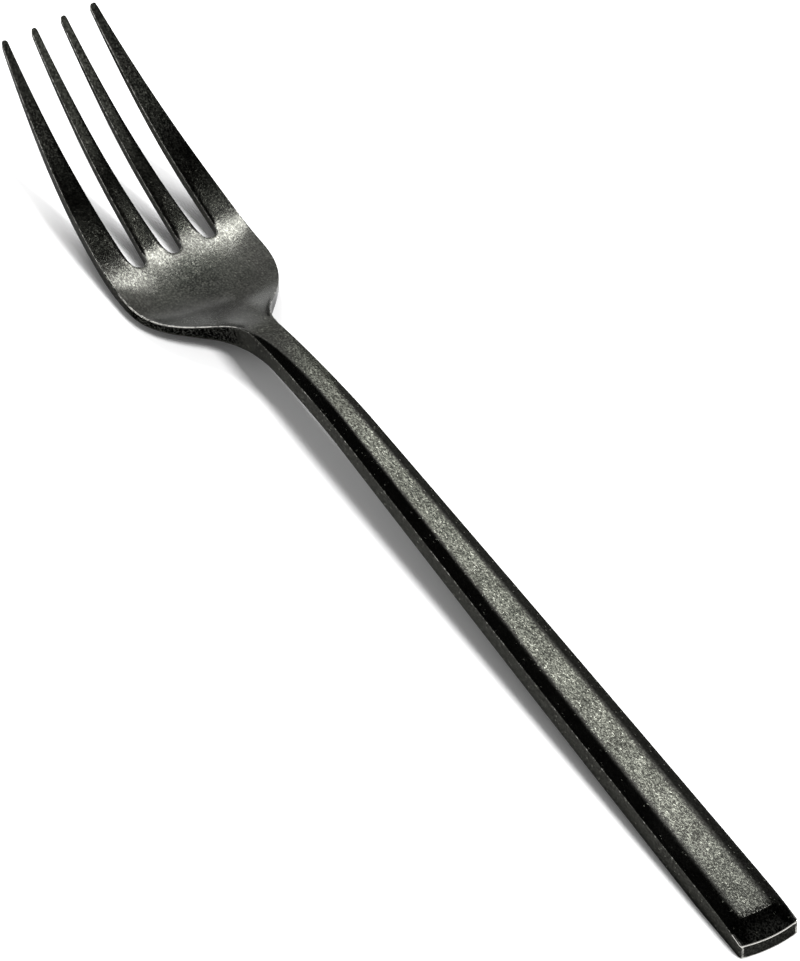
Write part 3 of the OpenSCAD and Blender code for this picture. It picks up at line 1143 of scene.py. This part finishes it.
def makeBlackSteel():
    m = blackSteel
    material = bpy.data.materials.new("blackSteel")
    material.use_nodes = True
    tree = material.node_tree
    shader = tree.nodes["Principled BSDF"]
    coordinates = tree.nodes.new("ShaderNodeTexCoord").outputs["Object"]
    grain = groupNode(tree, fineGrain)
    tree.links.new(coordinates, grain.inputs["Vector"])
    worn = groupNode(tree, rimWearNodes)
    tree.links.new(coordinates, worn.inputs["Vector"])
    tree.links.new(attribute(tree, "rimWear"), worn.inputs["Rim"])

    speckle = grain.outputs["Speckle"]
    uneven = math2(tree, "SUBTRACT", speckle, 0.5)
    uneven = math2(tree, "MULTIPLY", uneven, m["rubUneven"])
    rub = math2(tree, "ADD", attribute(tree, "topRub"), uneven)
    rub = remap(tree, rub, *m["rubRange"])
    plain = blend(tree, speckle, m["dark"], m["light"])
    rubbed = blend(tree, speckle, m["rubbedDark"], m["rubbedLight"])
    colour = blend(tree, rub, plain, rubbed)
    scuff = attribute(tree, "heelScuff")
    onHead = attribute(tree, "headGrain")
    colour = blend(tree, scuff, colour, m["scuffed"])
    shown = math2(tree, "MAXIMUM", rub, m["fleckShare"])
    flecks = math2(tree, "MULTIPLY", grain.outputs["Flecks"], shown)
    scratches = math2(tree, "MULTIPLY", grain.outputs["Scratches"], rub)
    scratches = math2(tree, "MULTIPLY", scratches, m["scratchShare"])
    specks = remap(tree, grain.outputs["Flecks"], *m["speckRange"])
    fewer = math2(tree, "MULTIPLY", onHead, -m["headSpecks"])
    fewer = math2(tree, "ADD", fewer, m["speckShare"])
    specks = math2(tree, "MULTIPLY", specks, fewer)
    marks = math2(tree, "MAXIMUM", math2(tree, "MAXIMUM", flecks, scratches), specks)
    colour = blend(tree, marks, colour, m["fleck"])
    patchy = remap(tree, grain.outputs["Mottle"], *m["patchRange"], 0.0, m["patchy"])
    patchy = math2(tree, "MULTIPLY", patchy, onHead)
    # painted shade: the 'shade' attribute, made uneven by the speckle, plus random darker
    # patches on the head, darken the colour towards black
    ragged = math2(tree, "MULTIPLY", math2(tree, "SUBTRACT", 0.5, speckle), m["ragged"])
    ragged = math2(tree, "ADD", ragged, 1.0)
    ragged = math2(tree, "MULTIPLY", ragged, attribute(tree, "shade"))
    shade = math2(tree, "ADD", ragged, patchy, limit=True)
    colour = blend(tree, shade, colour, (0, 0, 0, 1))
    colour = blend(tree, worn.outputs["Bare"], colour, m["bare"])
    tree.links.new(colour, shader.inputs["Base Color"])
    dull = math2(tree, "MULTIPLY", scuff, m["scuffDull"])
    tree.links.new(math2(tree, "SUBTRACT", 1.0, dull), shader.inputs["Metallic"])
    shader.inputs["Specular Tint"].default_value = m["edgeTint"]

    mottle = grain.outputs["Mottle"]
    roughness = remap(tree, mottle, *m["roughMottle"], *m["roughness"])
    matt = math2(tree, "MULTIPLY", speckle, onHead)
    matt = math2(tree, "MULTIPLY", matt, m["headRoughness"])
    dents = math2(tree, "MULTIPLY", specks, m["speckRoughness"])
    roughness = math2(tree, "MAXIMUM", math2(tree, "ADD", roughness, matt), dents)
    tree.links.new(roughness, shader.inputs["Roughness"])
    addBump(tree, shader, grain, m["bumpDistance"])
    return material


fillerMix = {
    "light": (0.16, 0.15, 0.13, 1),
    "dark": (0.09, 0.085, 0.08, 1),
    "roughness": 0.8,
    "grainScale": 1800.0,
    "fleckShare": 0.2,
    "bumpDistance": 0.00005,
}


def makeFiller():
    m = fillerMix
    material = bpy.data.materials.new("grittyFiller")
    material.use_nodes = True
    tree = material.node_tree
    shader = tree.nodes["Principled BSDF"]
    coordinates = tree.nodes.new("ShaderNodeTexCoord").outputs["Object"]
    values = {"Grain scale": m["grainScale"], "Fleck share": m["fleckShare"]}
    grain = groupNode(tree, fineGrain, **values)
    tree.links.new(coordinates, grain.inputs["Vector"])
    colour = blend(tree, grain.outputs["Flecks"], m["dark"], m["light"])
    tree.links.new(colour, shader.inputs["Base Color"])
    addBump(tree, shader, grain, m["bumpDistance"])
    shader.inputs["Roughness"].default_value = m["roughness"]
    return material


def giveMaterial(obj, material):
    obj.data.materials.clear()
    obj.data.materials.append(material)


steel = makeBlackSteel()
for piece in (head, topShell, lowShell):
    giveMaterial(piece, steel)
for name in ("fork_head", "handle_top_shell", "handle_bottom_shell"):
    giveMaterial(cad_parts[name], steel)
giveMaterial(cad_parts["handle_filler"], makeFiller())
print("materials done")

studio = {
    "floorSize": 9.0,
    "floorColour": (0.9, 0.9, 0.9, 1),
    "floorLift": 0.01,  # how much of the white the camera sees even in shade
    "lampDistance": 4.0,
    "keyDirection": (0.325, -0.335, 0.87),
    "keyAngles": (6.5, 26.0),  # across and along the lamp, as seen from the fork
    "keyRadiance": 26.0,
    "floorLamps": {  # direction, angles, radiance; kept out of reflections
        "buttSoftbox": ((-0.7, -0.2, 1.0), (20.0, 13.0), 42.0),
        "tineSoftbox": ((1.0, -0.2, 1.0), (26.0, 13.0), 33.0),
    },
    "ambient": 0.37,  # brightness of the room on matt surfaces
    "horizon": 0.7,
    "overhead": 0.04,
    "behind": 0.6,  # brightness overhead on the butt's side, seen in the tines
    "farWall": (2.35, 1.6, 2.2),  # brightness of the far wall at its foot, middle and top
    # where one brightness turns into the next, as parts of a direction of length 1
    "horizonBand": (0.1, 0.5),  # upwards
    "footBand": (0.15, 0.33),
    "topBand": (0.45, 0.75),
    "wallNear": (0.15, 0.45),  # the wall's border towards the butt
    "wallLeft": (0.12, -0.12),  # and those on the fork's left and right
    "wallRight": (-0.82, -0.66),
    "behindBand": (-0.08, -0.25),
}


def seenDirectly(tree):  # 1 for camera, glossy and transmission rays
    path = tree.nodes.new("ShaderNodeLightPath")
    seen = math2(tree, "ADD", path.outputs["Is Camera Ray"], path.outputs["Is Glossy Ray"])
    return math2(tree, "ADD", seen, path.outputs["Is Transmission Ray"], limit=True)


def makeFloor():
    deselectAll()
    bpy.ops.mesh.primitive_plane_add(size=studio["floorSize"])
    floor = bpy.context.object
    floor.name = "floor"
    material = bpy.data.materials.new("paleFloor")
    material.use_nodes = True
    tree = material.node_tree
    shader = tree.nodes["Principled BSDF"]
    shader.inputs["Base Color"].default_value = studio["floorColour"]
    shader.inputs["Roughness"].default_value = 1.0
    shader.inputs["Specular IOR Level"].default_value = 0.0
    shader.inputs["Emission Color"].default_value = (1, 1, 1, 1)
    lift = math2(tree, "MULTIPLY", seenDirectly(tree), studio["floorLift"])
    tree.links.new(lift, shader.inputs["Emission Strength"])
    giveMaterial(floor, material)


def makeWorld():
    world = bpy.data.worlds.new("studioWorld")
    bpy.context.scene.world = world
    world.use_nodes = True
    tree = world.node_tree
    background = tree.nodes["Background"]
    direction = tree.nodes.new("ShaderNodeTexCoord").outputs["Generated"]
    split = tree.nodes.new("ShaderNodeSeparateXYZ")
    tree.links.new(direction, split.inputs[0])
    x, y, z = split.outputs
    around = remap(tree, z, *studio["horizonBand"], studio["horizon"], studio["overhead"])
    foot, middle, top = studio["farWall"]
    wall = remap(tree, z, *studio["footBand"], foot, middle)
    wallTop = remap(tree, z, *studio["topBand"], 0.0, top - middle)
    wall = math2(tree, "ADD", wall, wallTop)
    for axis, band in ((x, "wallNear"), (y, "wallLeft"), (y, "wallRight")):
        wall = math2(tree, "MULTIPLY", wall, remap(tree, axis, *studio[band]))
    behind = remap(tree, x, *studio["behindBand"], 0.0, studio["behind"])
    level = math2(tree, "MAXIMUM", math2(tree, "MAXIMUM", around, wall), behind)
    path = tree.nodes.new("ShaderNodeLightPath")
    reflected = math2(tree, "MULTIPLY", level, path.outputs["Is Glossy Ray"])
    strength = math2(tree, "MAXIMUM", reflected, path.outputs["Is Camera Ray"])
    room = math2(tree, "MULTIPLY", path.outputs["Is Diffuse Ray"], studio["ambient"])
    strength = math2(tree, "MAXIMUM", strength, room)
    tree.links.new(strength, background.inputs["Strength"])
    background.inputs["Color"].default_value = (1, 1, 1, 1)


def makeLamp(name, direction, angles, radiance):
    width, length = (
        2 * studio["lampDistance"] * math.tan(math.radians(angle) / 2) for angle in angles
    )
    lamp = bpy.data.lights.new(name, "AREA")
    lamp.shape = "RECTANGLE"
    lamp.size, lamp.size_y = width, length
    lamp.energy = radiance * math.pi * width * length
    obj = bpy.data.objects.new(name, lamp)
    bpy.context.scene.collection.objects.link(obj)
    back = Vector(direction).normalized()
    side = Vector((1, 0, 0)) - back * back.x  # the short side lies along the fork
    side.normalize()
    obj.matrix_world = Matrix.Translation(back * studio["lampDistance"]) @ Matrix(
        (side, back.cross(side), back)
    ).transposed().to_4x4()
    return obj


camera = {
    "lens": 449.5,
    "sensor": 36.0,
    "clip": (0.1, 50.0),
    "target": (112.29, -4.736, 0.0),  # millimetres from the butt
    "distance": 1.85945,  # metres
    "elevation": 45.602,  # degrees
    "heading": -31.965,  # the way the camera looks on the ground, from +X
}


def makeCamera():
    data = bpy.data.cameras.new("camera")
    data.lens = camera["lens"]
    data.sensor_width = camera["sensor"]
    obj = bpy.data.objects.new("camera", data)
    bpy.context.scene.collection.objects.link(obj)
    tilt, turn = math.radians(camera["elevation"]), math.radians(camera["heading"])
    look = Vector(
        (math.cos(tilt) * math.cos(turn), math.cos(tilt) * math.sin(turn), -math.sin(tilt))
    )
    right = look.cross(Vector((0, 0, 1))).normalized()
    up = right.cross(look)
    obj.matrix_world = Matrix.Translation(
        place(*camera["target"]) - look * camera["distance"]
    ) @ Matrix((right, up, -look)).transposed().to_4x4()
    data.clip_start, data.clip_end = camera["clip"]
    bpy.context.scene.camera = obj


makeFloor()
makeWorld()
key = makeLamp(
    "keySoftbox", studio["keyDirection"], studio["keyAngles"], studio["keyRadiance"]
)
key.visible_diffuse = False
for name, (direction, angles, radiance) in studio["floorLamps"].items():
    makeLamp(name, direction, angles, radiance).visible_glossy = False
makeCamera()
bpy.context.scene.view_settings.view_transform = "Standard"
print("studio done")
